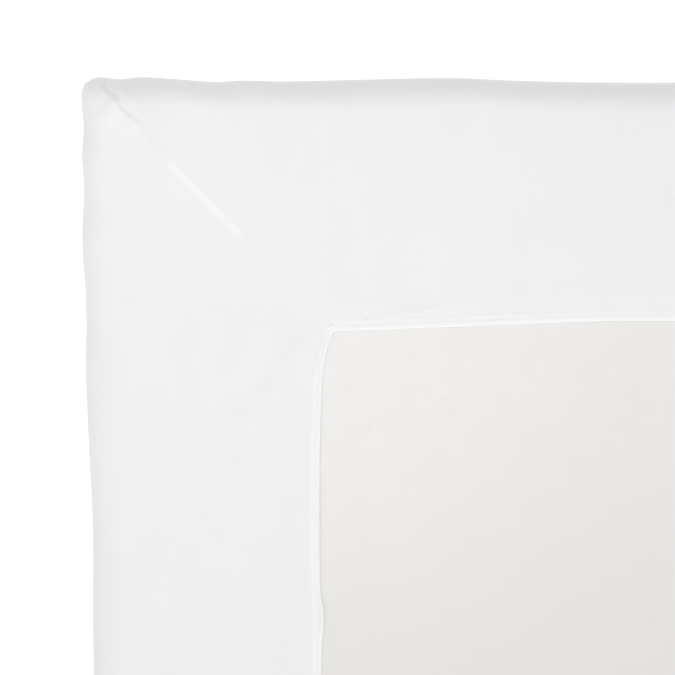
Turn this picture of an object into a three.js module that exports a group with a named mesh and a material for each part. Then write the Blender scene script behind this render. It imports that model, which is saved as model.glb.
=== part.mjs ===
// A fitted sheet stretched over a thin mattress. Both lie turned over, so the elastic opening is on top.
// Millimetres, +Z up, with the origin on the floor under the middle. X runs across the mattress, Y along it.
// Each corner has its own two distances: in from the long side, and in from the short end.
import * as THREE from "three";

// Driving dimensions
const LENGTH = 2000;
const WIDTH = 900;
const MATTRESS_HEIGHT = 120;
const CLOTH_THICKNESS = 1.5;
const EDGE_RADIUS = 28; // rounding of the cloth from a wall to a face
const CORNER_RADIUS = 16; // rounding of the outline at a corner, seen from above
const BORDER_CORNER_RADIUS = 12; // the same on the border, inside its rounded edge
const OPENING_CORNER_RADIUS = 3; // the same at the opening's edge
const FACE_GAP = 0.4; // cloth to mattress on the flat faces
const EDGE_CLEARANCE = 2; // cloth to mattress at the walls and rounded edges
const ELASTIC_WIDTH = 8;
const PIECE_GAP = 0.4; // cloth to elastic
const BORDER_SLACK = 0.8; // how far the border stands off the mattress halfway across
const SEAM_HEIGHT = 1.5; // lap of the long side's panel over the short end's along the mitre
const SEAM_WIDTH = 8;
const SEAM_EDGE = 1.5; // half the width in which the lap drops to the short end's panel
const LID_POLE = { x: 200, y: 700 }; // inner points that the flat faces are spread from

// Fineness of the faceted surfaces
const CORNER_STEPS = 3;
const EDGE_STEPS = 4;
const BORDER_STEPS = 9;
const SIDE_SPREAD = 1.8; // above 1, the steps along a side are finer near its corners
const SIDES = {
  long: { half_length: LENGTH / 2, steps: 12, other: "short" },
  short: { half_length: WIDTH / 2, steps: 9, other: "long" },
};

// How far the cloth's outline is drawn in from the box, by the distance along the side from its corner
const OUTLINE = {
  long: [
    { from_corner: 0, inward: 0 },
    { from_corner: 20, inward: 0 },
    { from_corner: 40, inward: 1.7 },
    { from_corner: 60, inward: 0.9 },
    { from_corner: 90, inward: 2.9 },
    { from_corner: 127, inward: 1.4 },
    { from_corner: 194, inward: 4.4 },
    { from_corner: 223, inward: 3.8 },
    { from_corner: 300, inward: 7 },
    { from_corner: 367, inward: 10 },
    { from_corner: 430, inward: 9.8 },
    { from_corner: 1000, inward: 12 },
  ],
  short: [
    { from_corner: 0, inward: 0 },
    { from_corner: 20, inward: 0 },
    { from_corner: 31, inward: 1.4 },
    { from_corner: 50, inward: 0 },
    { from_corner: 108, inward: 3.7 },
    { from_corner: 127, inward: 2.6 },
    { from_corner: 160, inward: 3.2 },
    { from_corner: 223, inward: 2.2 },
    { from_corner: 295, inward: 1 },
    { from_corner: 340, inward: 2.8 },
    { from_corner: 396, inward: 4.4 },
    { from_corner: 450, inward: 4.8 },
  ],
};

// How far the opening's edge stands in from the box, by the distance along the side from its corner
const OPENING = {
  long: [
    { from_corner: 203, inward: 201 },
    { from_corner: 216, inward: 197.2 },
    { from_corner: 233, inward: 194 },
    { from_corner: 262, inward: 192.4 },
    { from_corner: 310, inward: 191.2 },
    { from_corner: 394, inward: 191.2 },
    { from_corner: 430, inward: 192.8 },
    { from_corner: 520, inward: 192 },
    { from_corner: 1000, inward: 191 },
  ],
  short: [
    { from_corner: 201, inward: 203 },
    { from_corner: 255, inward: 201.4 },
    { from_corner: 335, inward: 198.2 },
    { from_corner: 400, inward: 195.8 },
    { from_corner: 450, inward: 195 },
  ],
};

// The border's main creases: troughs from one point to another, each point as its distances
// in from the long side and in from the short end
const CREASES = [
  { from_long: 183, from_short: 198, to_long: 119, to_short: 270, depth: 0.7, width: 15 },
  { from_long: 227, from_short: 190, to_long: 285, to_short: 180, depth: 0.5, width: 11 },
  { from_long: 160, from_short: 290, to_long: 178, to_short: 299, depth: 0.4, width: 9 },
];

// The elastic's section, from its outer lower corner over its two welts to its inner lower corner
const ELASTIC_SECTION = [
  { across: 0, up: 0 },
  { across: 0, up: 1.5 },
  { across: 0.9, up: 2.6 },
  { across: 2.9, up: 2.6 },
  { across: 4, up: 1.8 },
  { across: 5.1, up: 2.5 },
  { across: 7.2, up: 2.5 },
  { across: ELASTIC_WIDTH, up: 1.5 },
  { across: ELASTIC_WIDTH, up: 0 },
];

// The corners in order round the object, with the side that leads into each one and the side that leaves it
const CORNERS = [
  { x: 1, y: 1, into: "long", out: "short" },
  { x: -1, y: 1, into: "short", out: "long" },
  { x: -1, y: -1, into: "long", out: "short" },
  { x: 1, y: -1, into: "short", out: "long" },
];
const CORNER_COLUMNS = 2 * CORNER_STEPS + SIDES.long.steps + SIDES.short.steps;

// Heights that follow from the dimensions
const MATTRESS_BOTTOM = CLOTH_THICKNESS + FACE_GAP;
const MATTRESS_TOP = MATTRESS_BOTTOM + MATTRESS_HEIGHT;
const BORDER_TOP = MATTRESS_TOP + FACE_GAP + CLOTH_THICKNESS;

// Slope of the curve through a table at one of its rows. It is level at both ends
function tableSlope(rows, index) {
  const before = rows[index - 1];
  const after = rows[index + 1];
  if (!before || !after) return 0;
  return (after.inward - before.inward) / (after.from_corner - before.from_corner);
}

// A table's value at a distance from the corner, on a smooth curve through its rows
function tableValue(rows, distance) {
  const place = THREE.MathUtils.clamp(distance, rows[0].from_corner, rows[rows.length - 1].from_corner);
  const next = Math.max(1, rows.findIndex((row) => row.from_corner >= place));
  const before = rows[next - 1];
  const after = rows[next];
  const reach = after.from_corner - before.from_corner;
  const share = (place - before.from_corner) / reach;
  const eased = THREE.MathUtils.smoothstep(share, 0, 1);
  const startPull = tableSlope(rows, next - 1) * reach * share * (1 - share) ** 2;
  const endPull = tableSlope(rows, next) * reach * share ** 2 * (1 - share);
  return THREE.MathUtils.lerp(before.inward, after.inward, eased) + startPull - endPull;
}

// How strongly a trough reaches a point of the border, from 0 to 1
function creaseReach(crease, fromLong, fromShort) {
  const run = new THREE.Line3(
    new THREE.Vector3(crease.from_long, crease.from_short, 0),
    new THREE.Vector3(crease.to_long, crease.to_short, 0),
  );
  const point = new THREE.Vector3(fromLong, fromShort, 0);
  const nearest = run.closestPointToPoint(point, true, new THREE.Vector3());
  return Math.exp(-((nearest.distanceTo(point) / crease.width) ** 2));
}

// Height of the seam's lap by the distance from the mitre line, which runs from the corner to that of
// the opening
function seamHeight(fromLong, fromShort) {
  const mitreAngle = Math.atan2(OPENING.short[0].inward, OPENING.long[0].inward);
  const ontoLongPanel = fromShort * Math.cos(mitreAngle) - fromLong * Math.sin(mitreAngle);
  const rise = THREE.MathUtils.smoothstep(ontoLongPanel, -SEAM_EDGE, SEAM_EDGE);
  return SEAM_HEIGHT * rise * Math.exp(-((ontoLongPanel / SEAM_WIDTH) ** 2));
}

// How far the border's cloth stands above its lowest place. acrossBorder is 0 at the rounded edge and 1 at
// the elastic
function borderRelief(fromLong, fromShort, acrossBorder) {
  const slack = BORDER_SLACK * Math.sin(Math.PI * acrossBorder);
  const troughs = CREASES.map((crease) => crease.depth * creaseReach(crease, fromLong, fromShort));
  const lowest = troughs.reduce((sum, depth) => sum + depth, 0);
  return Math.max(0, slack - lowest) + seamHeight(fromLong, fromShort);
}

// A rounded outline all round the object, that far inside the cloth's own
function clothFrame(distanceIn, radius) {
  const inset = (sideName, along) => distanceIn + tableValue(OUTLINE[sideName], along - distanceIn);
  return { radius, inset };
}

// A rounded outline round the opening, that far outside its edge
function openingFrame(distanceOut) {
  const inset = (sideName, along) => tableValue(OPENING[sideName], along) - distanceOut;
  return { radius: OPENING_CORNER_RADIUS, inset };
}

// The point of a frame at one step of a side, as its distances in from the long side and from the short end
function framePoint(frame, sideName, step) {
  const side = SIDES[sideName];
  const cornerAlong = frame.inset(side.other, 0);
  const straightStart = cornerAlong + frame.radius;
  let along = straightStart;
  let rounding = 0;
  if (step <= CORNER_STEPS) {
    const turn = (Math.PI / 4) * (1 - step / CORNER_STEPS);
    along = cornerAlong + frame.radius * (1 - Math.sin(turn));
    rounding = frame.radius * (1 - Math.cos(turn));
  } else {
    const share = ((step - CORNER_STEPS) / side.steps) ** SIDE_SPREAD;
    along = THREE.MathUtils.lerp(straightStart, side.half_length, share);
  }
  const across = frame.inset(sideName, along) + rounding;
  return sideName === "long" ? new THREE.Vector2(across, along) : new THREE.Vector2(along, across);
}

// A ring's points all the way round, counter-clockwise from above. A ring lies on its start frame, or at
// a share of the way from there to its end frame
function ringPoints(ring) {
  const points = [];
  for (const corner of CORNERS) {
    const place = (sideName, step) => {
      const start = framePoint(ring.start, sideName, step);
      const end = framePoint(ring.end ?? ring.start, sideName, step);
      const { x: fromLong, y: fromShort } = start.lerp(end, ring.share ?? 0);
      const x = corner.x * (WIDTH / 2 - fromLong);
      const y = corner.y * (LENGTH / 2 - fromShort);
      points.push(new THREE.Vector3(x, y, ring.height(fromLong, fromShort)));
    };
    const stepsInto = CORNER_STEPS + SIDES[corner.into].steps;
    const stepsOut = CORNER_STEPS + SIDES[corner.out].steps;
    for (let step = stepsInto - 1; step > 0; step -= 1) place(corner.into, step);
    for (let step = 0; step <= stepsOut; step += 1) place(corner.out, step);
  }
  return points;
}

// Triangles of a flat face inside a ring. They face up, with a pole near each corner to spread from
function lidTriangles(ringStart, poleStart) {
  const count = CORNERS.length * CORNER_COLUMNS;
  const triangles = [];
  for (let column = 0; column < count; column += 1) {
    const next = (column + 1) % count;
    const pole = poleStart + Math.floor(next / CORNER_COLUMNS);
    triangles.push([pole, ringStart + column, ringStart + next]);
    if (next % CORNER_COLUMNS === 0) {
      const poleBefore = poleStart + Math.floor(column / CORNER_COLUMNS);
      triangles.push([poleBefore, ringStart + column, pole]);
    }
  }
  triangles.push([poleStart, poleStart + 1, poleStart + 2]);
  triangles.push([poleStart, poleStart + 2, poleStart + 3]);
  return triangles;
}

// One closed surface through the rings in order. With lids its first ring is filled facing down and its
// last facing up. Without, the last ring joins the first
function geometryFromRings(rings, { lids }) {
  const points = rings.flatMap(ringPoints);
  const count = CORNERS.length * CORNER_COLUMNS;
  const triangles = [];
  const bands = lids ? rings.length - 1 : rings.length;
  for (let band = 0; band < bands; band += 1) {
    const lower = band * count;
    const upper = ((band + 1) % rings.length) * count;
    for (let column = 0; column < count; column += 1) {
      const next = (column + 1) % count;
      triangles.push([lower + column, lower + next, upper + next]);
      triangles.push([lower + column, upper + next, upper + column]);
    }
  }
  if (lids) {
    const lastRing = (rings.length - 1) * count;
    for (const ringStart of [0, lastRing]) {
      const poleStart = points.length;
      const poleHeight = points[ringStart].z;
      for (const { x, y } of CORNERS) {
        points.push(new THREE.Vector3(x * LID_POLE.x, y * LID_POLE.y, poleHeight));
      }
      const facingUp = lidTriangles(ringStart, poleStart);
      triangles.push(...(ringStart === 0 ? facingUp.map((triangle) => triangle.reverse()) : facingUp));
    }
  }
  const geometry = new THREE.BufferGeometry().setFromPoints(points);
  geometry.setIndex(triangles.flat());
  geometry.computeVertexNormals();
  return geometry;
}

// Rings of a quarter round between a wall and a face. inset and height are those of its centre. turnFrom and
// turnTo are angles from the wall's side: 0 at the wall, a quarter turn up or down at a face
function quarterRound({ inset, height, radius, turnFrom, turnTo, reliefShare }) {
  const rings = [];
  for (let step = 0; step <= EDGE_STEPS; step += 1) {
    const turn = THREE.MathUtils.lerp(turnFrom, turnTo, step / EDGE_STEPS);
    const distanceIn = inset - radius * Math.cos(turn);
    const inwardShare = THREE.MathUtils.clamp(distanceIn / EDGE_RADIUS, 0, 1);
    rings.push({
      start: clothFrame(distanceIn, THREE.MathUtils.lerp(CORNER_RADIUS, BORDER_CORNER_RADIUS, inwardShare)),
      height: (fromLong, fromShort) => {
        const lap = reliefShare * Math.sin(turn) ** 2 * seamHeight(fromLong, fromShort);
        return height + radius * Math.sin(turn) + lap;
      },
    });
  }
  return rings;
}

// Rings of one face of the cloth, from the floor up the wall and over the rounded edge. depth is how far
// that face lies inside the outer one
function wrappedRings(depth) {
  const round = { inset: EDGE_RADIUS, radius: EDGE_RADIUS - depth };
  const highHeight = BORDER_TOP - EDGE_RADIUS;
  return [
    ...quarterRound({ ...round, height: EDGE_RADIUS, turnFrom: -Math.PI / 2, turnTo: 0, reliefShare: 0 }),
    ...quarterRound({ ...round, height: highHeight, turnFrom: 0, turnTo: Math.PI / 2, reliefShare: 1 }),
  ];
}

// Rings of one face of the border, from inside the rounded edge to the elastic
function borderRings(depth) {
  const rings = [];
  for (let step = 1; step <= BORDER_STEPS; step += 1) {
    const share = step / BORDER_STEPS;
    rings.push({
      start: clothFrame(EDGE_RADIUS, BORDER_CORNER_RADIUS),
      end: openingFrame(ELASTIC_WIDTH + PIECE_GAP),
      share,
      height: (fromLong, fromShort) => BORDER_TOP - depth + borderRelief(fromLong, fromShort, share),
    });
  }
  return rings;
}

function sheetGeometry() {
  const outer = [...wrappedRings(0), ...borderRings(0)];
  const inner = [...wrappedRings(CLOTH_THICKNESS), ...borderRings(CLOTH_THICKNESS)];
  return geometryFromRings([...outer, ...inner.reverse()], { lids: true });
}

function mattressGeometry() {
  const inset = CLOTH_THICKNESS + EDGE_CLEARANCE + EDGE_RADIUS;
  const round = { inset, radius: EDGE_RADIUS, reliefShare: 0 };
  const lowHeight = MATTRESS_BOTTOM + EDGE_RADIUS;
  const highHeight = MATTRESS_TOP - EDGE_RADIUS;
  const rings = [
    ...quarterRound({ ...round, height: lowHeight, turnFrom: -Math.PI / 2, turnTo: 0 }),
    ...quarterRound({ ...round, height: highHeight, turnFrom: 0, turnTo: Math.PI / 2 }),
  ];
  return geometryFromRings(rings, { lids: true });
}

function elasticGeometry() {
  const rings = ELASTIC_SECTION.map(({ across, up }) => ({
    start: openingFrame(ELASTIC_WIDTH - across),
    height: () => MATTRESS_TOP + FACE_GAP + up,
  }));
  return geometryFromRings(rings, { lids: false });
}

function namedMesh(name, geometry, finish) {
  const mesh = new THREE.Mesh(geometry, new THREE.MeshStandardMaterial({ metalness: 0, ...finish }));
  mesh.name = name;
  return mesh;
}

const group = new THREE.Group();
group.add(namedMesh("mattress", mattressGeometry(), { color: 0xeeebe8, roughness: 0.95 }));
group.add(namedMesh("fitted_sheet", sheetGeometry(), { color: 0xf1f1f1, roughness: 0.9 }));
group.add(namedMesh("elastic_edge", elasticGeometry(), { color: 0xf7f7f7, roughness: 0.8 }));

export default group;
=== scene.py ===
"""A fitted sheet stretched over a thin mattress. Both lie turned over, so the elastic opening is on top.

Tables and sizes are in millimetres. Each corner has its own two distances, as in the CAD source: in from
the long side, and in from the short end. Meshes are made in metres, in the frame of the CAD nodes.
"""
import math
from collections import namedtuple

import bpy
import numpy as np
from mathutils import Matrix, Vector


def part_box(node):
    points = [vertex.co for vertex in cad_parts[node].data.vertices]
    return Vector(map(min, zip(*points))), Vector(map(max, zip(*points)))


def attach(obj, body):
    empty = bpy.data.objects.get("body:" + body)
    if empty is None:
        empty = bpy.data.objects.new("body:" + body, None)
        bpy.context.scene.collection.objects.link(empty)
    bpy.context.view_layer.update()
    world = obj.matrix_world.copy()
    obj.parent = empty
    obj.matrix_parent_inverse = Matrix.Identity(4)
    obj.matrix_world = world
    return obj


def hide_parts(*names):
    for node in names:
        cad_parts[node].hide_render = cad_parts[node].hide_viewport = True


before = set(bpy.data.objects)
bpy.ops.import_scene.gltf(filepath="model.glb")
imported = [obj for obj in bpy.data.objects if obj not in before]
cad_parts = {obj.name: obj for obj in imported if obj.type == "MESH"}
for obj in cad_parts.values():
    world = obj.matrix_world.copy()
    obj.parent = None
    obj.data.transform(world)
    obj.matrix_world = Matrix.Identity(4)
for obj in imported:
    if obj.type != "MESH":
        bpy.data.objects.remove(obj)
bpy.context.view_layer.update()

MM = 0.001

# Sizes from the frame
SHEET_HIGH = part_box("fitted_sheet")[1]
MATTRESS_LOW, MATTRESS_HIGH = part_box("mattress")
HALF = {"long": SHEET_HIGH.y / MM, "short": SHEET_HIGH.x / MM}
OTHER = {"long": "short", "short": "long"}
MATTRESS_BOTTOM = MATTRESS_LOW.z / MM
MATTRESS_TOP = MATTRESS_HIGH.z / MM

# Sizes shared with the CAD source
CLOTH_THICKNESS = 1.5
EDGE_RADIUS = 28.0
CORNER_RADIUS = 16.0
BORDER_CORNER_RADIUS = 12.0
OPENING_CORNER_RADIUS = 3.0
FACE_GAP = 0.4
EDGE_CLEARANCE = 2.0
ELASTIC_WIDTH = 8.0
BORDER_SLACK = 0.8
TUCK = 2.9  # how far the sheet's edge runs on under the elastic's outer welt
ELASTIC_SINK = 0.6  # how far the cloth is pressed together towards the elastic
BORDER_TOP = MATTRESS_TOP + FACE_GAP + CLOTH_THICKNESS
WALL = BORDER_TOP - 2 * EDGE_RADIUS
QUARTER = EDGE_RADIUS * math.pi / 2

# How far the cloth's outline, and the opening's edge, stand in from the box
Inward = namedtuple("Inward", "from_corner inward")
OUTLINE = {
    "long": [
        Inward(0, 0), Inward(20, 0), Inward(40, 1.7), Inward(60, 0.9), Inward(90, 2.9),
        Inward(127, 1.4), Inward(194, 4.4), Inward(223, 3.8), Inward(300, 7), Inward(367, 10),
        Inward(430, 9.8), Inward(1000, 12),
    ],
    "short": [
        Inward(0, 0), Inward(20, 0), Inward(31, 1.4), Inward(50, 0), Inward(108, 3.7),
        Inward(127, 2.6), Inward(160, 3.2), Inward(223, 2.2), Inward(295, 1), Inward(340, 2.8),
        Inward(396, 4.4), Inward(450, 4.8),
    ],
}
OPENING = {
    "long": [
        Inward(203, 201), Inward(216, 197.2), Inward(233, 194), Inward(262, 192.4), Inward(310, 191.2),
        Inward(394, 191.2), Inward(430, 192.8), Inward(520, 192), Inward(1000, 191),
    ],
    "short": [
        Inward(201, 203), Inward(255, 201.4), Inward(335, 198.2), Inward(400, 195.8), Inward(450, 195),
    ],
}

# The border's creases run from one point to another, in from the long side and in from the short end.
# A trough is sunk along its line. A fold rises from one side of its line to the other, by twice its depth
Crease = namedtuple("Crease", "from_long from_short to_long to_short depth width")
TROUGHS = [
    Crease(19.2, 6, 22.6, 11.3, 6.0, 1.3),
    Crease(22.6, 11.3, 28.5, 16.4, 1.6, 1.3),
    Crease(228, 188, 228, 195, 0.6, 1.5),
    Crease(166, 292, 174, 297, 0.3, 3),
    Crease(152, 300, 170, 306, 0.2, 4),
]
FOLDS = [
    Crease(190, 197, 166, 213, 0.5, 4),
    Crease(172, 206, 148, 248, 0.9, 4.5),
    Crease(154, 240, 122, 274, 0.85, 4.5),
    Crease(287, 181, 224, 192, 0.9, 3.2),
    Crease(276, 112, 248, 121, 0.3, 5),
    Crease(330, 140, 296, 152, 0.3, 7),
]

# The mitre's seam by the distance from the corner along it. The long side's panel stands higher by its lap,
# which drops within the width on both sides of the seam. The seam strays from the mitre by its offset, which
# is negative towards the short end's panel, and allowance is how clearly the doubled cloth shows
Seam = namedtuple("Seam", "travel lap width offset allowance")
SEAM = [
    Seam(0, 1.4, 3.0, -7.0, 0.0),
    Seam(20, 1.9, 1.6, -7.0, 0.0),
    Seam(31, 1.9, 1.4, -7.2, 0.0),
    Seam(34, 2.2, 1.5, -7.0, 0.0),
    Seam(36, 2.6, 2.2, -7.4, 0.0),
    Seam(39, 2.9, 3.0, -8.0, 0.0),
    Seam(42, 2.8, 2.4, -6.6, 0.0),
    Seam(45, 2.3, 1.6, -5.2, 0.0),
    Seam(48, 1.6, 1.2, -4.6, 0.0),
    Seam(51, 0.9, 2.4, -5.4, 0.0),
    Seam(55, 1.4, 1.8, -6.8, 0.0),
    Seam(63, 1.3, 1.8, -7.2, 0.0),
    Seam(67, 0.7, 3.0, -6.2, 0.0),
    Seam(94, 0.5, 3.4, -4.6, 0.0),
    Seam(105, 0.5, 2.4, -1.8, 0.9),
    Seam(145, 0.5, 2.4, -2.0, 1.0),
    Seam(164, 0.4, 2.4, -2.1, 0.9),
    Seam(168, 0.4, 2.4, -2.1, 0.1),
    Seam(171, 0.4, 2.4, -2.1, 0.9),
    Seam(179, 0.4, 2.4, -2.1, 0.8),
    Seam(184, 0.2, 2.8, -2.0, 0.05),
    Seam(227, 0.15, 2.8, -2.0, 0.15),
    Seam(266, 0.0, 2.8, -1.0, 0.0),
]
MITRE_ANGLE = math.atan2(OPENING["short"][0].inward, OPENING["long"][0].inward)
BRINK_POWER = 1.25  # above 1, the lap drops most steeply at its own panel
LAP_REACH = 12  # how far the lap carries onto its panel before it has died away

# The corners round the object, with the side that leads into each and the side that leaves it
Corner = namedtuple("Corner", "x y into out detailed")
CORNERS = [
    Corner(1, 1, "long", "short", False),
    Corner(-1, 1, "short", "long", True),
    Corner(-1, -1, "long", "short", False),
    Corner(1, -1, "short", "long", False),
]
LID_POLE = (0.45, 0.7, 1.0)  # inner points that the flat faces spread from, as shares of the half sizes

# Columns of points: the corner's rounding has its steps, then each is the one before times growth, up to the
# pitch as far as fine_reach and up to coarse beyond
Spacing = namedtuple("Spacing", "corner_steps first growth pitch fine_reach coarse")

# A ring's start is its distance from the cloth's outline, or from the opening's edge, by the surface's frame.
# share is how far it lies from there towards the opening. out and up are the surface's direction
Ring = namedtuple("Ring", "start share radius height out up travel")


def table_value(rows, distance):
    """A table's value at distances from the corner, on a smooth curve through its rows."""
    at = np.array([row.from_corner for row in rows], float)
    value = np.array([row.inward for row in rows], float)
    slope = np.zeros(len(rows))
    slope[1:-1] = (value[2:] - value[:-2]) / (at[2:] - at[:-2])
    place = np.clip(distance, at[0], at[-1])
    before = np.clip(np.searchsorted(at, place, side="right") - 1, 0, len(rows) - 2)
    reach = at[before + 1] - at[before]
    share = (place - at[before]) / reach
    eased = share * share * (3 - 2 * share)
    start_pull = slope[before] * reach * share * (1 - share) ** 2
    end_pull = slope[before + 1] * reach * share**2 * (1 - share)
    return value[before] + (value[before + 1] - value[before]) * eased + start_pull - end_pull


def seam_value(name, travel):
    return np.interp(travel, [row.travel for row in SEAM], [getattr(row, name) for row in SEAM])


def straight_step(value, low, high):
    return np.clip((value - low) / (high - low), 0, 1)


def smooth_step(value, low, high):
    share = straight_step(value, low, high)
    return share * share * (3 - 2 * share)


def bell(distance, width):
    return np.exp(-((distance / width) ** 2))


def fading(distance, reach):
    return np.exp(-distance / reach)


def soft_noise(x, y, z, wavelength, seed):
    """Smooth unevenness between about -1 and 1, from a few crossing waves."""
    waves, shortest, longest, peak = 9, 0.7, 1.5, 1.4
    rng = np.random.default_rng(seed)
    total = np.zeros(np.broadcast(x, y, z).shape)
    for _ in range(waves):
        direction = rng.normal(size=3)
        direction /= np.linalg.norm(direction)
        length = wavelength * rng.uniform(shortest, longest)
        phase = rng.uniform(0, 2 * math.pi)
        along = x * direction[0] + y * direction[1] + z * direction[2]
        total += np.sin(2 * math.pi * along / length + phase)
    return total / math.sqrt(waves) / peak


def column_shares(spacing, reach):
    """Shares from 0 to 1 of a straight side, for its columns."""
    stops = [0.0]
    step = spacing.first
    while stops[-1] < reach:
        stops.append(stops[-1] + step)
        limit = spacing.pitch if stops[-1] < spacing.fine_reach else spacing.coarse
        step = min(step * spacing.growth, limit)
    return np.array(stops[1:]) / stops[-1]


def quarter_round(inset, height, radius, turn_from, turn_to, steps, travel):
    """Rings of a quarter round between a wall and a face, about a centre at inset and height."""
    rings = []
    for turn in np.linspace(turn_from, turn_to, steps + 1):
        distance_in = inset - radius * math.cos(turn)
        share = float(np.clip(distance_in / EDGE_RADIUS, 0, 1))
        corner_radius = CORNER_RADIUS + (BORDER_CORNER_RADIUS - CORNER_RADIUS) * share
        out, up = math.cos(turn), math.sin(turn)
        ring_travel = travel + radius * (turn - turn_from)
        rings.append(Ring(distance_in, 0.0, corner_radius, height + radius * up, out, up, ring_travel))
    return rings


def cloth_inset(distance_in, side, along):
    """How far a line stands in from the box, that far inside the cloth's outline."""
    return distance_in + table_value(OUTLINE[side], along - distance_in)


def opening_inset(distance_out, side, along):
    """How far a line stands in from the box, that far outside the opening's edge."""
    return table_value(OPENING[side], along) - distance_out


def frame_plan(inset, distance, radius, side, corner_steps, shares):
    """Points of a rounded frame along one wing, from its mitre to the middle of its side: the distances
    across and along, and the turn of its outward direction from the side's own."""
    corner_along = inset(distance, OTHER[side], 0 * distance)
    start = corner_along + radius
    turns = np.linspace(math.pi / 4, 0, corner_steps + 1)
    rounding = corner_along + radius * (1 - np.sin(turns))
    along = np.hstack([rounding, start + (HALF[side] - start) * shares])
    turn = np.concatenate([turns, np.zeros(len(shares))])[None, :]
    across = inset(distance, side, along) + radius * (1 - np.cos(turn))
    return across, along, np.broadcast_to(turn, along.shape)


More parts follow.
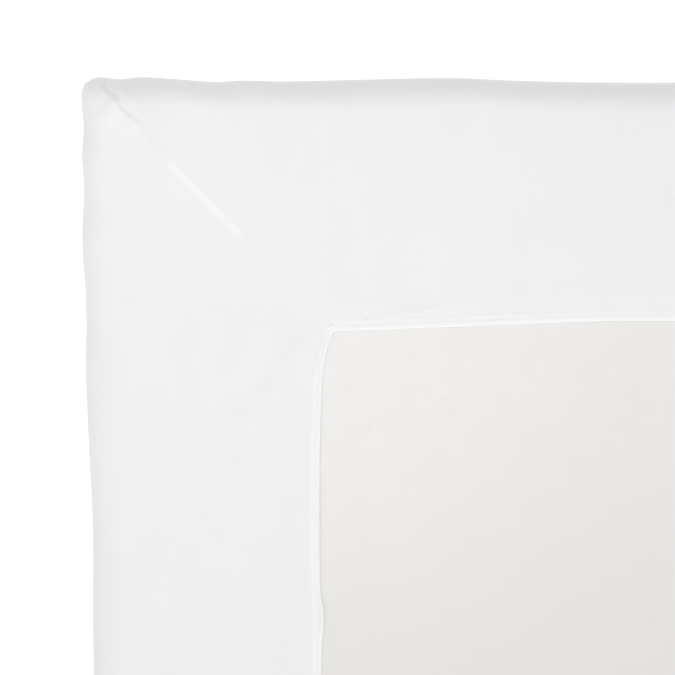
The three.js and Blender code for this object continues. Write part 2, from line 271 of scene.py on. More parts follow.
class Surface:
    """Rings laid round the object, column by column, as arrays with a row for each ring."""

    def __init__(self, rings, frame_inset, plain, detailed, cut_back=0.0):
        self.rings = rings
        self.frame_inset = frame_inset
        self.spacing = {False: plain, True: detailed}
        self.cut_back = np.full((1, 1), cut_back)
        for name in Ring._fields:
            setattr(self, name, np.array([getattr(ring, name) for ring in rings], float)[:, None])
        self.lay_out()

    def wing(self, side, detailed):
        """Distances of one wing's points, as frame_plan gives them, part of the way to the opening."""
        spacing = self.spacing[detailed]
        steps, shares = spacing.corner_steps, column_shares(spacing, HALF[side])
        across, along, turn = frame_plan(self.frame_inset, self.start, self.radius, side, steps, shares)
        end_radius = np.full((1, 1), OPENING_CORNER_RADIUS)
        end_across, end_along, _ = frame_plan(opening_inset, self.cut_back, end_radius, side, steps, shares)
        across = across + (end_across - across) * self.share
        along = along + (end_along - along) * self.share
        return across, along, turn

    def lay_out(self):
        from_long, from_short, out_long, out_short, self.corner_of, self.side_before = ([] for _ in range(6))
        for number, corner in enumerate(CORNERS):
            for side, leads_in in ((corner.into, True), (corner.out, False)):
                across, along, turn = self.wing(side, corner.detailed)
                # The mitre's column belongs to the wing that leaves, and the middle's to the one that arrives
                columns = slice(-2, 0, -1) if leads_in else slice(None)
                across, along, turn = across[:, columns], along[:, columns], turn[:, columns]
                is_long = side == "long"
                from_long.append(across if is_long else along)
                from_short.append(along if is_long else across)
                out_long.append(np.cos(turn) if is_long else np.sin(turn))
                out_short.append(np.sin(turn) if is_long else np.cos(turn))
                self.corner_of += [number] * across.shape[1]
                self.side_before += [side] * across.shape[1]
            # The face before the mitre's own column is still the wing's that leads in
            self.side_before[-across.shape[1]] = corner.into
        self.from_long, self.from_short = np.hstack(from_long), np.hstack(from_short)
        self.corner_of = np.array(self.corner_of)
        self.on_long = np.array([side == "long" for side in self.side_before])
        self.count = len(self.corner_of)
        x_sign = np.array([corner.x for corner in CORNERS])[self.corner_of]
        y_sign = np.array([corner.y for corner in CORNERS])[self.corner_of]
        self.detailed = np.array([corner.detailed for corner in CORNERS])[self.corner_of]
        self.x = x_sign * (HALF["short"] - self.from_long)
        self.y = y_sign * (HALF["long"] - self.from_short)
        self.z = np.broadcast_to(self.height, self.x.shape).copy()
        self.plan_out = x_sign * np.hstack(out_long), y_sign * np.hstack(out_short)

    def push_out(self, distance):
        """Moves every point away from the middle, in plan."""
        self.x = self.x + self.plan_out[0] * distance
        self.y = self.y + self.plan_out[1] * distance

    def raise_by(self, height):
        """Moves every point along the surface's outward direction."""
        self.push_out(height * self.out)
        self.z = self.z + height * self.up

    def mesh(self, name, lids):
        """The closed mesh in metres, with a map called Cloth that unrolls the cloth, also in metres."""
        columns, bands = self.count, len(self.rings) - (1 if lids else 0)
        points = np.stack([self.x, self.y, self.z], -1).reshape(-1, 3)
        lower = (np.arange(bands) * columns)[:, None]
        upper = (((np.arange(bands) + 1) % len(self.rings)) * columns)[:, None]
        here = np.arange(columns)
        after = (here + 1) % columns
        quads = np.stack([lower + here, lower + after, upper + after, upper + here], -1).reshape(-1, 4)
        faces = quads.tolist()
        if lids:
            for ring_start, facing_up in ((0, False), ((len(self.rings) - 1) * columns, True)):
                poles = len(points)
                half_x, half_y, _ = np.abs(points[ring_start : ring_start + columns]).max(0) * LID_POLE
                height = points[ring_start][2]
                corner_points = [(c.x * half_x, c.y * half_y, height) for c in CORNERS]
                points = np.vstack([points, corner_points])
                lid = [[poles, poles + 1, poles + 2, poles + 3]]
                for column, following in zip(here, after):
                    pole = poles + int(self.corner_of[following])
                    pole_before = poles + int(self.corner_of[column])
                    lid.append([pole, ring_start + int(column), ring_start + int(following)])
                    if pole_before != pole:
                        lid.append([pole_before, ring_start + int(column), pole])
                faces += lid if facing_up else [face[::-1] for face in lid]
        data = bpy.data.meshes.new(name)
        data.from_pydata((points * MM).tolist(), [], faces)
        self.unroll(data, points, len(quads))
        data.polygons.foreach_set("use_smooth", [True] * len(data.polygons))
        data.update()
        return link(data)

    def unroll(self, data, points, quads):
        """Writes the Cloth map: the cloth's grain runs along Y, over the edges and down the walls."""
        travel = np.broadcast_to(self.travel, self.x.shape).reshape(-1)
        rolled_x = np.sign(self.x.reshape(-1)) * (HALF["short"] + travel)
        rolled_y = np.sign(self.y.reshape(-1)) * (HALF["long"] + travel)
        corners = np.empty(len(data.loops), dtype=np.int32)
        data.loops.foreach_get("vertex_index", corners)
        place = points[corners, :2].copy()
        known = np.minimum(corners, len(travel) - 1)
        long_face = np.tile(np.roll(self.on_long, -1), quads // self.count)
        long_loop = np.zeros(len(data.loops), bool)
        long_loop[: quads * 4] = np.repeat(long_face, 4)
        wall = np.zeros(len(data.loops), bool)
        wall[: quads * 4] = True
        place[:, 0] = np.where(wall & long_loop, rolled_x[known], place[:, 0])
        place[:, 1] = np.where(wall & ~long_loop, rolled_y[known], place[:, 1])
        layer = data.uv_layers.new(name="Cloth")
        layer.data.foreach_set("uv", (place * MM).reshape(-1))


def link(data):
    piece = bpy.data.objects.new(data.name, data)
    bpy.context.scene.collection.objects.link(piece)
    return piece


def mitre_place(from_long, from_short):
    """Distance along the mitre's seam from the corner, and the distance from the seam, positive on the long
    side's panel."""
    travel = from_short * math.sin(MITRE_ANGLE) + from_long * math.cos(MITRE_ANGLE)
    across = from_short * math.cos(MITRE_ANGLE) - from_long * math.sin(MITRE_ANGLE)
    return travel, across - seam_value("offset", travel)


def seam_height(from_long, from_short):
    """The lap at a mitre: the seam allowance lies under the long side's panel, which ends in a crisp brink at
    the seam's line and drops softly to the short end's panel."""
    travel, across = mitre_place(from_long, from_short)
    width = seam_value("width", travel)
    rise = np.clip((across + width) / (2 * width), 0, 1) ** BRINK_POWER
    pucker_share, pucker_length, group_length = 0.1, 2.1, 9.7
    pucker = 1 + pucker_share * np.sin(travel / pucker_length) * np.sin(travel / group_length + 1)
    fade = bell(np.clip(across - width, 0, None), LAP_REACH)
    return seam_value("lap", travel) * pucker * rise * fade


def seam_allowance(surface):
    """Where the doubled cloth of the seam allowance shows as a whiter strip, from 0 to 1."""
    travel, across = mitre_place(surface.from_long, surface.from_short)
    strip = smooth_step(across, low=-3.2, high=-1.6) * (1 - smooth_step(across, low=2.2, high=3.8))
    return seam_value("allowance", travel) * strip


def to_crease(crease, from_long, from_short):
    """Distance from a crease's line, the same with its sign by the side, and the share along it."""
    run_long, run_short = crease.to_long - crease.from_long, crease.to_short - crease.from_short
    length = math.hypot(run_long, run_short)
    start_long, start_short = from_long - crease.from_long, from_short - crease.from_short
    share = (start_long * run_long + start_short * run_short) / length**2
    side = (start_long * run_short - start_short * run_long) / length
    nearest = np.clip(share, 0, 1)
    away = np.hypot(start_long - nearest * run_long, start_short - nearest * run_short)
    return away, side, share


def trough_depth(crease, from_long, from_short):
    away, _, _ = to_crease(crease, from_long, from_short)
    return crease.depth * bell(away, crease.width)


def fold_height(crease, from_long, from_short):
    """A soft step across the crease's line, which dies away on both sides and at both ends."""
    _, side, share = to_crease(crease, from_long, from_short)
    ends = smooth_step(share, low=-0.15, high=0.25) * (1 - smooth_step(share, low=0.75, high=1.15))
    spread = 4 * crease.width
    return crease.depth * ends * np.tanh(side / crease.width) * bell(side, spread)


def border_relief(surface):
    """How far the border's cloth stands off its lowest place."""
    from_long, from_short = surface.from_long, surface.from_short
    unevenness, gather_depth, gather_length, group_length = 0.3, 0.18, 2.3, 13
    on_border = np.sin(math.pi * surface.share)
    slack = BORDER_SLACK * on_border
    uneven = unevenness * on_border * soft_noise(surface.x, surface.y, 0, wavelength=140, seed=3)
    folds = sum(fold_height(crease, from_long, from_short) for crease in FOLDS)
    to_elastic = np.maximum(
        table_value(OPENING["long"], from_short) - ELASTIC_WIDTH - from_long,
        table_value(OPENING["short"], from_long) - ELASTIC_WIDTH - from_short,
    )
    off_elastic = smooth_step(to_elastic, low=0, high=5)
    run = surface.x + surface.y
    strength = soft_noise(surface.x, surface.y, 0, wavelength=60, seed=8)
    gathers = np.sin(run / gather_length) * np.sin(run / group_length + 2) * strength
    gathers = gather_depth * gathers * fading(np.abs(to_elastic), reach=10)
    sunk = ELASTIC_SINK * (1 - smooth_step(to_elastic, low=0, high=14))
    return off_elastic * np.maximum(0, slack + uneven + folds + gathers) - sunk


def shoulder(surface):
    """How far the cloth has sunk where it begins to turn over the edge: its rounding starts softly, and most
    so on the short end's panel near a corner."""
    depth, deeper_at_corner, reach = 0.6, 0.9, 10
    from_long = np.clip(surface.from_long - EDGE_RADIUS, 0, None)
    from_short = np.clip(surface.from_short - EDGE_RADIUS, 0, None)
    short_depth = depth + deeper_at_corner * bell(surface.from_long, width=70)
    return np.maximum(depth * fading(from_long, reach), short_depth * fading(from_short, reach)) * surface.up


def sheet_surface():
    """The sheet's outer face from the floor over the rounded edge to the elastic, and back along its inner
    face."""
    plain = Spacing(corner_steps=6, first=2.0, growth=1.25, pitch=9, fine_reach=240, coarse=18)
    detailed = Spacing(corner_steps=10, first=1.3, growth=1.07, pitch=4.2, fine_reach=430, coarse=11)
    low_steps, wall_steps, high_steps, inner_steps = 6, 8, 20, 3
    top_centre = BORDER_TOP - EDGE_RADIUS
    low = quarter_round(EDGE_RADIUS, EDGE_RADIUS, EDGE_RADIUS, -math.pi / 2, 0, low_steps, 0)
    high = quarter_round(EDGE_RADIUS, top_centre, EDGE_RADIUS, 0, math.pi / 2, high_steps, QUARTER + WALL)
    walls = []
    for share in np.linspace(0, 1, wall_steps + 1)[1:-1]:
        walls.append(low[-1]._replace(height=EDGE_RADIUS + WALL * share, travel=QUARTER + WALL * share))
    outer = low + walls + high
    border = border_rings(BORDER_TOP, border_shares())
    inner_radius = EDGE_RADIUS - CLOTH_THICKNESS
    inner = quarter_round(EDGE_RADIUS, EDGE_RADIUS, inner_radius, -math.pi / 2, 0, inner_steps, 0)
    inner += quarter_round(EDGE_RADIUS, top_centre, inner_radius, 0, math.pi / 2, inner_steps, QUARTER + WALL)
    inner += border_rings(BORDER_TOP - CLOTH_THICKNESS, [0.5, 1.0])
    surface = Surface(outer + border + inner[::-1], cloth_inset, plain, detailed, ELASTIC_WIDTH - TUCK)
    is_outer = (np.arange(len(surface.rings)) < len(outer) + len(border))[:, None]
    on_top = np.where(surface.up > 0, surface.up**2, 0)
    lap = seam_height(surface.from_long, surface.from_short) * on_top
    troughs = sum(trough_depth(crease, surface.from_long, surface.from_short) for crease in TROUGHS) * on_top
    relief = np.where(surface.share > 0, border_relief(surface), 0)
    height = lap + relief - shoulder(surface) * (surface.up > 0) - troughs + wall_folds(surface)
    surface.raise_by(is_outer * height)
    return surface


def border_shares():
    """Where the border's rings lie across it, finer near the rounded edge and the elastic."""
    edge_end, elastic_start = 0.24, 0.94
    edge_steps, middle_steps, elastic_steps = 24, 28, 5
    near_edge = np.linspace(0, edge_end, edge_steps + 1)[1:]
    middle = np.linspace(edge_end, elastic_start, middle_steps + 1)[1:]
    near_elastic = np.linspace(elastic_start, 1, elastic_steps + 1)[1:]
    return [*near_edge, *middle, *near_elastic]


def border_rings(height, shares):
    width = OPENING["long"][-1].inward - EDGE_RADIUS
    start_travel = 2 * QUARTER + WALL
    return [
        Ring(EDGE_RADIUS, float(share), BORDER_CORNER_RADIUS, height, 0, 1, start_travel + width * share)
        for share in shares
    ]


def wall_folds(surface):
    """Soft folds down the walls, deepest near the corners, where the cloth is drawn over them, and the ridge
    of the seam down the corner itself."""
    fold_depth, fold_length, fold_slant = 0.6, 7.5, 0.55
    unevenness, upright_stretch, seam_ridge = 0.4, 0.6, 0.8
    on_wall = np.clip(surface.out, 0, 1) * np.ones_like(surface.x)
    off_floor = smooth_step(surface.z, low=4, high=40)
    along = np.maximum(surface.from_long, surface.from_short)
    near_corner = fading(along, reach=130)
    slanted = along - fold_slant * (BORDER_TOP - surface.z)
    folds = np.sin(slanted / fold_length) * soft_noise(surface.x, surface.y, 0, wavelength=160, seed=5)
    uneven = soft_noise(surface.x, surface.y, surface.z * upright_stretch, wavelength=120, seed=6)
    from_mitre = surface.from_short - surface.from_long
    past_mitre = np.clip(from_mitre, 0, None)
    ridge = smooth_step(from_mitre, low=-1.5, high=1.5) * bell(past_mitre, width=9)
    seam = seam_ridge * ridge * bell(along, width=30)
    return on_wall * off_floor * (fold_depth * near_corner * folds + unevenness * uneven + seam)


def make_sheet():
    surface = sheet_surface()
    piece = surface.mesh("sheet_cloth", lids=True)
    doubled = np.zeros(len(piece.data.vertices))
    on_outer = np.where(surface.up > 0, 1.0, 0.0)
    doubled[: surface.x.size] = (seam_allowance(surface) * on_outer).reshape(-1)
    piece.data.attributes.new("doubled", "FLOAT", "POINT").data.foreach_set("value", doubled)
    return piece


# The binding's section: from the end of the sheet's tucked edge out to the lip that is sewn onto the sheet,
# over the outer welt, the stitched groove and the inner welt, and down to the mattress. up is the height
# along the long sides, and short_up along the short ends, where the binding is drawn flatter
Section = namedtuple("Section", "across up short_up")
SECTION = [
    Section(TUCK + 0.3, 0.0, 0.0), Section(TUCK + 0.3, 1.0, 0.9), Section(0.6, 1.0, 0.9),
    Section(-0.5, 0.75, 0.75), Section(-0.1, 1.0, 0.88), Section(0.4, 1.26, 0.97), Section(1.0, 1.45, 1.02),
    Section(1.7, 1.55, 1.05), Section(2.4, 1.56, 1.08), Section(3.1, 1.5, 1.1), Section(3.7, 1.44, 1.12),
    Section(4.1, 1.42, 1.14), Section(4.5, 1.44, 1.16), Section(5.1, 1.5, 1.17), Section(5.8, 1.56, 1.16),
    Section(6.5, 1.5, 1.1), Section(7.1, 1.32, 1.01), Section(7.6, 1.02, 0.9), Section(7.9, 0.55, 0.7),
    Section(8.1, -0.3, -0.3),
]
GROOVE = 11  # the groove's row of the section
CORNER_NUB = Crease(196.5, 199.5, 201, 197.2, 0.65, 1.1)  # where the binding is folded over at the corner
SHARP_EDGE = math.radians(60)

# Where the binding's inner edge lifts along the long sides, by the distance in from the short end
Lift = namedtuple("Lift", "place width height")
LIFTS = [Lift(228, 7, 0.5), Lift(251, 5, 0.4), Lift(270, 30, 0.7)]
TURNED_UP = Lift(428, 15, 3.4)
TURNED_OUT = 1.6  # how far the turned-up place stands over the opening
BULGE = Lift(220, 5, 0.5)  # on the short ends, by the distance in from the long side


def binding_height(surface, up, short_up):
    """The section's height, lowest next to a corner and swelling from there along the long sides, and how
    far it has swollen."""
    full = 0.9  # the height up to which the section is the same next to the corner
    flattened = 0.6
    swelling = smooth_step(surface.from_short, low=198, high=220) * surface.on_long
    near_corner = 1 - smooth_step(surface.from_long, low=212, high=245)
    flatter = flattened * near_corner * (short_up - full) * (short_up > full)
    return (short_up - flatter) * (1 - swelling) + up * swelling, swelling


def elastic_surface():
    """The binding all round the opening: gathered and a little wandering, lifted here and there at its inner
    edge, turned up at one place and folded over at the corner."""
    base = MATTRESS_TOP + FACE_GAP
    rings = [
        Ring(ELASTIC_WIDTH - row.across, 0.0, OPENING_CORNER_RADIUS, base, 0, 1, row.across)
        for row in SECTION
    ]
    spacing = Spacing(corner_steps=6, first=1.2, growth=1.1, pitch=2.2, fine_reach=1000, coarse=2.2)
    surface = Surface(rings, opening_inset, spacing, spacing)
    across, up, short_up = (np.array(column)[:, None] for column in zip(*SECTION))
    is_top = up > 0
    height, swelling = binding_height(surface, up, short_up)
    surface.z = surface.z + height

    gather_height, gather_length, group_length, group_share, wander_share = 0.04, 0.62, 11, 0.4, 1.6
    run = surface.x + surface.y
    gather = np.sin(run / gather_length) * (1 - group_share + group_share * np.sin(run / group_length))
    wander = soft_noise(surface.x, surface.y, 0, wavelength=45, seed=12)
    welts = smooth_step(across, low=0.3, high=1.6) * smooth_step(up, low=1.0, high=1.5)
    uneven = gather + wander_share * wander
    surface.z = surface.z + welts * gather_height * (1 + swelling) * uneven

    inner_share = smooth_step(across, low=3, high=8) * is_top
    lift = sum(row.height * bell(surface.from_short - row.place, row.width) for row in LIFTS)
    lift = lift * surface.on_long
    turned_share = straight_step(across, low=4.6, high=8.1) * is_top
    turned_up = bell(surface.from_short - TURNED_UP.place, TURNED_UP.width) * turned_share * surface.on_long
    inner_welt = 6  # its distance across the section
    bulge = BULGE.height * bell(surface.from_long - BULGE.place, BULGE.width)
    bulge = bulge * bell(across - inner_welt, width=1.3) * is_top * ~surface.on_long
    nub_away, _, _ = to_crease(CORNER_NUB, surface.from_long, surface.from_short)
    nub = CORNER_NUB.depth * bell(nub_away, CORNER_NUB.width) * welts
    surface.z = surface.z + inner_share * lift + TURNED_UP.height * turned_up + bulge + nub

    # The outer edge is drawn in round the corners, and the inner edge wanders
    drawn, quicker_on_short, wander_out, gather_out = 2.2, 3, 0.15, 0.03
    past_long = surface.from_short - OPENING["long"][0].from_corner
    past_short = quicker_on_short * (surface.from_long - OPENING["short"][0].from_corner)
    past_corner = np.clip(np.where(surface.on_long, past_long, past_short), 0, None)
    drawn_in = drawn * bell(past_corner, width=26) * (1 - smooth_step(across, low=-1, high=7))
    inner_wander = (wander_out * wander + gather_out * gather) * smooth_step(across, low=3, high=5)
    surface.push_out(-drawn_in - TURNED_OUT * turned_up - inner_wander)
    return surface


def make_elastic(surface):
    piece = surface.mesh("elastic_binding", lids=False)
    piece.data.set_sharp_from_angle(angle=SHARP_EDGE)
    return piece


def make_stitches(surface):
    """A row of lockstitches in the groove between the binding's welts."""
    pitch, length, radius, rise, sunk = 3.4, 2.5, 0.17, 0.12, 0.04
    stray, end_thickness, steps, sides = 0.15, 0.45, 4, 5
    line = np.stack([surface.x[GROOVE], surface.y[GROOVE], surface.z[GROOVE]], -1)
    line = np.vstack([line, line[:1]])
    travel = np.concatenate([[0], np.cumsum(np.linalg.norm(np.diff(line, axis=0), axis=1))])
    count = int(travel[-1] / pitch)
    rng = np.random.default_rng(31)
    points, faces = [], []
    for number in range(count):
        start = number * travel[-1] / count + rng.uniform(-stray, stray)
        stops = start + length * np.linspace(0, 1, steps + 1)
        centre = np.stack([np.interp(stops, travel, line[:, axis]) for axis in range(3)], -1)
        lift = np.sin(np.linspace(0, math.pi, steps + 1))
        centre[:, 2] += rise * lift - sunk
        forward = centre[-1] - centre[0]
        forward /= np.linalg.norm(forward)
        sideways = np.array([-forward[1], forward[0], 0.0])
        first = len(points)
        for step in range(steps + 1):
            thickness = radius * (end_thickness + (1 - end_thickness) * lift[step])
            for side in range(sides):
                turn = 2 * math.pi * side / sides
                offset = thickness * (math.cos(turn) * sideways + math.sin(turn) * np.array([0, 0, 1.0]))
                points.append((centre[step] + offset) * MM)
        for step in range(steps):
            for side in range(sides):
                a = first + step * sides + side
                b = first + step * sides + (side + 1) % sides
                faces.append([a, b, b + sides, a + sides])
        faces.append([first + side for side in reversed(range(sides))])
        faces.append([first + steps * sides + side for side in range(sides)])
    data = bpy.data.meshes.new("binding_stitches")
    data.from_pydata([tuple(point) for point in points], [], faces)
    data.polygons.foreach_set("use_smooth", [True] * len(data.polygons))
    data.update()
    return link(data)


def make_mattress():
    spacing = Spacing(corner_steps=5, first=4, growth=1.2, pitch=9, fine_reach=430, coarse=16)
    low_steps, high_steps, ring_pitch, reach, corner_radius, depth, lowered = 4, 6, 12, 300, 2.0, 0.16, 1.4
    inset = CLOTH_THICKNESS + EDGE_CLEARANCE + EDGE_RADIUS
    side = MATTRESS_TOP - MATTRESS_BOTTOM - 2 * EDGE_RADIUS
    low_centre, high_centre = MATTRESS_BOTTOM + EDGE_RADIUS, MATTRESS_TOP - EDGE_RADIUS
    low = quarter_round(inset, low_centre, EDGE_RADIUS, -math.pi / 2, 0, low_steps, 0)
    high = quarter_round(inset, high_centre, EDGE_RADIUS, 0, math.pi / 2, high_steps, QUARTER + side)
    top = [
        high[-1]._replace(start=inset + distance, radius=corner_radius, travel=high[-1].travel + distance)
        for distance in np.arange(ring_pitch, reach, ring_pitch)
    ]
    surface = Surface(low + high + top, cloth_inset, spacing, spacing)
    uneven = soft_noise(surface.x, surface.y, 0, wavelength=70, seed=21)
    uneven = uneven + soft_noise(surface.x, surface.y, 0, wavelength=190, seed=22)
    on_top = (surface.up >= 1) * smooth_step(surface.start, low=60, high=120)
    on_top = on_top * (1 - smooth_step(surface.start, low=210, high=reach))
    surface.z = surface.z + on_top * depth * (uneven - lowered)
    return surface.mesh("mattress_cover", lids=True)


class Shader:
    """A node material, with short calls to add and join its nodes."""

    def __init__(self, name, **sockets):
        self.material = bpy.data.materials.new(name)
        self.material.use_nodes = True
        self.tree = self.material.node_tree
        self.surface = self.tree.nodes["Principled BSDF"]
        for socket, value in sockets.items():
            self.surface.inputs[socket.replace("_", " ")].default_value = value

    def add(self, kind, inputs=(), **settings):
        node = self.tree.nodes.new("ShaderNode" + kind)
        for name, value in settings.items():
            setattr(node, name, value)
        for socket, value in dict(inputs).items():
            if isinstance(value, bpy.types.NodeSocket):
                self.tree.links.new(value, node.inputs[socket])
            else:
                node.inputs[socket].default_value = value
        return node

    def math(self, operation, first, second=0.0, third=0.0):
        node = self.add("Math", {0: first, 1: second, 2: third}, operation=operation)
        return node.outputs[0]

    def cloth_place(self):
        split = self.add("SeparateXYZ", {0: self.add("UVMap", uv_map="Cloth").outputs[0]})
        return split.outputs[0], split.outputs[1]

    def noise(self, size, detail=2.0, stretch=(1, 1, 1)):
        """Noise over the object, with blotches about size millimetres across."""
        place = self.add("TexCoord").outputs["Object"]
        scaled = self.add("Mapping", {"Vector": place, "Scale": stretch}).outputs[0]
        inputs = {"Vector": scaled, "Scale": 1 / (size * MM), "Detail": detail}
        return self.add("TexNoise", inputs).outputs["Fac"]

    def specks(self, spacing, size, strength):
        """The strength inside small soft specks of the cloth, about spacing millimetres apart, and 0
        elsewhere."""
        inputs = {"Vector": self.add("UVMap", uv_map="Cloth").outputs[0], "Scale": 1 / (spacing * MM)}
        away = self.add("TexVoronoi", inputs, voronoi_dimensions="2D").outputs["Distance"]
        core = 0.2  # the share of a speck that has its full strength
        limits = {0: away, 1: core * size / spacing, 2: size / spacing, 3: strength, 4: 0.0}
        return self.add("MapRange", limits).outputs[0]

    def mottled(self, noise, dark, light):
        """A colour that goes from dark to light with the middle of a noise's range."""
        node = self.add("ValToRGB", {0: noise})
        for element, position, color in zip(node.color_ramp.elements, (0.3, 0.7), (dark, light)):
            element.position = position
            element.color = color
        return node.outputs[0]

    def mix(self, share, first, second):
        node = self.add("Mix", {0: share, 6: first, 7: second}, data_type="RGBA")
        return node.outputs[2]

    def paint(self, color):
        self.tree.links.new(color, self.surface.inputs["Base Color"])

    def bump(self, height, distance, strength=1.0, under=None):
        inputs = {"Height": height, "Distance": distance * MM, "Strength": strength}
        if under is not None:
            inputs["Normal"] = under
        return self.add("Bump", inputs).outputs[0]

    def set_normal(self, normal):
        self.tree.links.new(normal, self.surface.inputs["Normal"])


def grey(level):
    return (level, level, level, 1)


def jersey_material():
    """Smooth white jersey: columns of small V-shaped stitches, a little fuzz and faint cloudiness. It is
    whiter where the seam allowance doubles it."""
    shader = Shader("jersey", Roughness=0.85, Sheen_Weight=0.05, Sheen_Roughness=0.5, Specular_IOR_Level=0.2)
    across, along = shader.cloth_place()
    wale, course, slant, stitch_share = 0.9 * MM, 0.7 * MM, 0.6, 0.35
    column = shader.math("MULTIPLY", across, 1 / wale)
    lean = shader.math("MULTIPLY", shader.math("PINGPONG", column, 0.5), 2.0)
    row = shader.math("MULTIPLY", along, 1 / course)
    slanted_row = shader.math("MULTIPLY_ADD", lean, slant, row)
    stitch = shader.math("SINE", shader.math("MULTIPLY", slanted_row, 2 * math.pi))
    knit = shader.math("MULTIPLY_ADD", stitch, stitch_share, lean)
    fuzz = shader.noise(size=1.6, detail=3.0)
    normal = shader.bump(knit, distance=0.05, strength=0.35)
    shader.set_normal(shader.bump(fuzz, distance=0.12, strength=0.3, under=normal))
    cloud = shader.noise(size=26, detail=3.0, stretch=(1, 0.5, 1))
    single = shader.mottled(cloud, dark=grey(0.776), light=grey(0.788))
    doubled = shader.add("Attribute", attribute_name="doubled").outputs["Fac"]
    shader.paint(shader.mix(doubled, single, grey(0.838)))
    return shader.material


def elastic_material():
    """Soft elastic binding, finely ribbed across its length."""
    shader = Shader("elastic", Roughness=0.75, Sheen_Weight=0.06, Sheen_Roughness=0.5, Specular_IOR_Level=0.2)
    fuzz = shader.noise(size=0.9, detail=3.0)
    across, along = shader.cloth_place()
    run = shader.math("ADD", across, along)
    rib_pitch = 0.8 * MM
    rib = shader.math("SINE", shader.math("MULTIPLY", run, 2 * math.pi / rib_pitch))
    normal = shader.bump(rib, distance=0.06, strength=0.4)
    shader.set_normal(shader.bump(fuzz, distance=0.1, strength=0.3, under=normal))
    shader.paint(shader.mottled(shader.noise(size=9), dark=grey(0.822), light=grey(0.836)))
    return shader.material


def thread_material():
    """Twisted white sewing thread."""
    shader = Shader("thread", Roughness=0.6, Sheen_Weight=0.1, Specular_IOR_Level=0.3)
    place = shader.add("SeparateXYZ", {0: shader.add("TexCoord").outputs["Object"]})
    run = shader.math("ADD", shader.math("ADD", place.outputs[0], place.outputs[1]), place.outputs[2])
    twist_pitch = 0.4 * MM
    twist = shader.math("SINE", shader.math("MULTIPLY", run, 2 * math.pi / twist_pitch))
    shader.set_normal(shader.bump(twist, distance=0.05, strength=0.5))
    shader.paint(shader.mottled(shader.noise(size=3), dark=grey(0.83), light=grey(0.86)))
    return shader.material


def ticking_material():
    """Cream mattress cover: a close plain weave with faint mottling and a few slubs in its yarn. Its colour
    is darkened towards the middle as painted shade, a falloff of light away from the corners."""
    shader = Shader("ticking", Roughness=0.92, Sheen_Weight=0.04, Specular_IOR_Level=0.15)
    across, along = shader.cloth_place()
    yarn = 0.55 * MM
    dark_cream, light_cream = (0.780, 0.765, 0.751, 1), (0.796, 0.781, 0.767, 1)
    painted_shade_cream, slub_color = (0.728, 0.713, 0.695, 1), (0.66, 0.64, 0.61, 1)
    warp = shader.math("SINE", shader.math("MULTIPLY", across, 2 * math.pi / yarn))
    weft = shader.math("SINE", shader.math("MULTIPLY", along, 2 * math.pi / yarn))
    weave = shader.math("MULTIPLY", warp, weft)
    slub = shader.noise(size=3, detail=3.0, stretch=(1, 0.25, 1))
    normal = shader.bump(weave, distance=0.05, strength=0.35)
    shader.set_normal(shader.bump(slub, distance=0.2, strength=0.3, under=normal))
    base = shader.mottled(shader.noise(size=20, detail=4.0), dark=dark_cream, light=light_cream)
    # Distances from the places that the painted shade leaves lightest, which lie near the four corners
    least_shaded, unshaded_reach, shade_reach, soft_middle = (0.3, 0.9, 0), 0.16, 0.46, 0.05
    place = shader.add("SeparateXYZ", {0: shader.add("TexCoord").outputs["Object"]})
    squared = shader.math("MULTIPLY_ADD", place.outputs[0], place.outputs[0], soft_middle**2)
    off_middle = shader.math("SQRT", squared)
    along_side = shader.math("ABSOLUTE", place.outputs[1])
    folded = shader.add("CombineXYZ", {0: off_middle, 1: along_side}).outputs[0]
    away = shader.add("VectorMath", {0: folded, 1: least_shaded}, operation="DISTANCE").outputs["Value"]
    limits = {0: away, 1: unshaded_reach, 2: shade_reach, 3: 0.0, 4: 1.0}
    painted_shade = shader.add("MapRange", limits, interpolation_type="SMOOTHSTEP").outputs[0]
    # Painted shade: the cream is darkened towards the middle of the mattress, away from the corners
    base = shader.mix(painted_shade, base, painted_shade_cream)
    shader.paint(shader.mix(shader.specks(spacing=85, size=3.0, strength=0.22), base, slub_color))
    return shader.material


def floor_material():
    """Pale floor, which glows faintly so that it stays as white as the photograph's background."""
    shader = Shader("floor", Roughness=0.9, Specular_IOR_Level=0.1, Emission_Strength=0.78)
    shader.surface.inputs["Emission Color"].default_value = (1, 1, 1, 1)
    shader.paint(shader.mottled(shader.noise(size=400), dark=grey(0.38), light=grey(0.4)))
    return shader.material


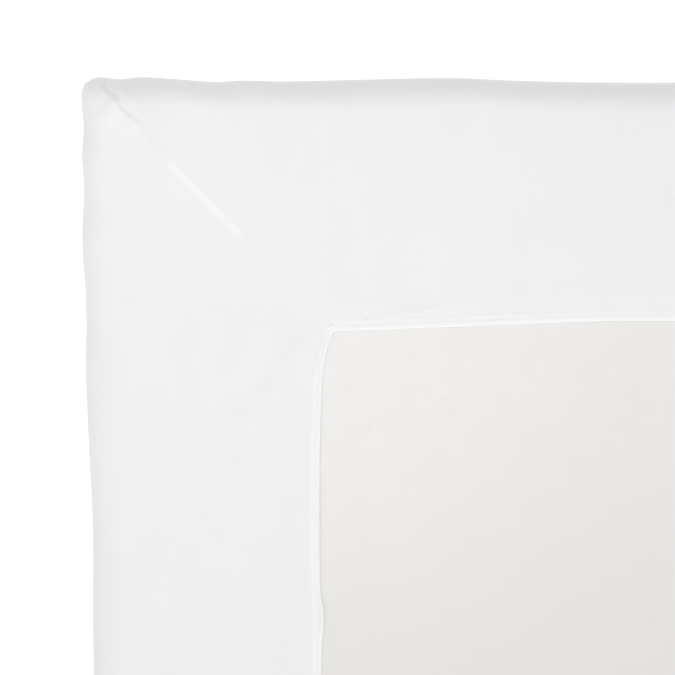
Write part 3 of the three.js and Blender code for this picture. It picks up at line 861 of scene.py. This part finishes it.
def dress(piece, material, node=None):
    piece.data.materials.append(material)
    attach(piece, "root")
    if node:
        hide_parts(node)
    return piece


def make_floor():
    """One square, in metres, just under the part."""
    reach, low = 30, -0.0006
    corners = [(-reach, -reach, low), (reach, -reach, low), (reach, reach, low), (-reach, reach, low)]
    data = bpy.data.meshes.new("floor")
    data.from_pydata(corners, [], [(0, 1, 2, 3)])
    data.materials.append(floor_material())
    link(data)


def make_lights():
    """A soft sun from the side of the photograph's lower edge, an even sky, and a small fill over the
    corner."""
    world = bpy.data.worlds.new("studio")
    world.use_nodes = True
    world.node_tree.nodes["Background"].inputs["Color"].default_value = (1, 1, 1, 1)
    world.node_tree.nodes["Background"].inputs["Strength"].default_value = 0.78
    bpy.context.scene.world = world
    sun = bpy.data.lights.new("key", "SUN")
    sun.energy = 1.2
    sun.angle = math.radians(40)
    key = bpy.data.objects.new("key", sun)
    key.rotation_euler = (math.radians(46), math.radians(10), 0)
    bpy.context.scene.collection.objects.link(key)
    lamp = bpy.data.lights.new("fill", "AREA")
    lamp.shape = "DISK"
    lamp.size = 0.5
    lamp.energy = 0.45
    fill = bpy.data.objects.new("fill", lamp)
    fill.location = (-0.42, 0.95, 0.75)
    bpy.context.scene.collection.objects.link(fill)


def make_camera():
    """Straight down over the corner, which lies to the left and at the back. Its frame's width and centre are
    on the border, in millimetres."""
    lens, sensor = 100.0, 36.0
    frame_width = 529.2
    centre = (-245.2, 791.9)
    data = bpy.data.cameras.new("camera")
    data.lens = lens
    data.sensor_width = sensor
    camera = bpy.data.objects.new("camera", data)
    height = BORDER_TOP + frame_width * lens / sensor
    camera.location = (centre[0] * MM, centre[1] * MM, height * MM)
    bpy.context.scene.collection.objects.link(camera)
    bpy.context.scene.camera = camera


make_camera()
sheet = dress(make_sheet(), jersey_material(), "fitted_sheet")
elastic = elastic_surface()
binding = dress(make_elastic(elastic), elastic_material(), "elastic_edge")
stitches = dress(make_stitches(elastic), thread_material())
mattress = dress(make_mattress(), ticking_material(), "mattress")
make_floor()
make_lights()
bpy.context.scene.view_settings.view_transform = "Standard"
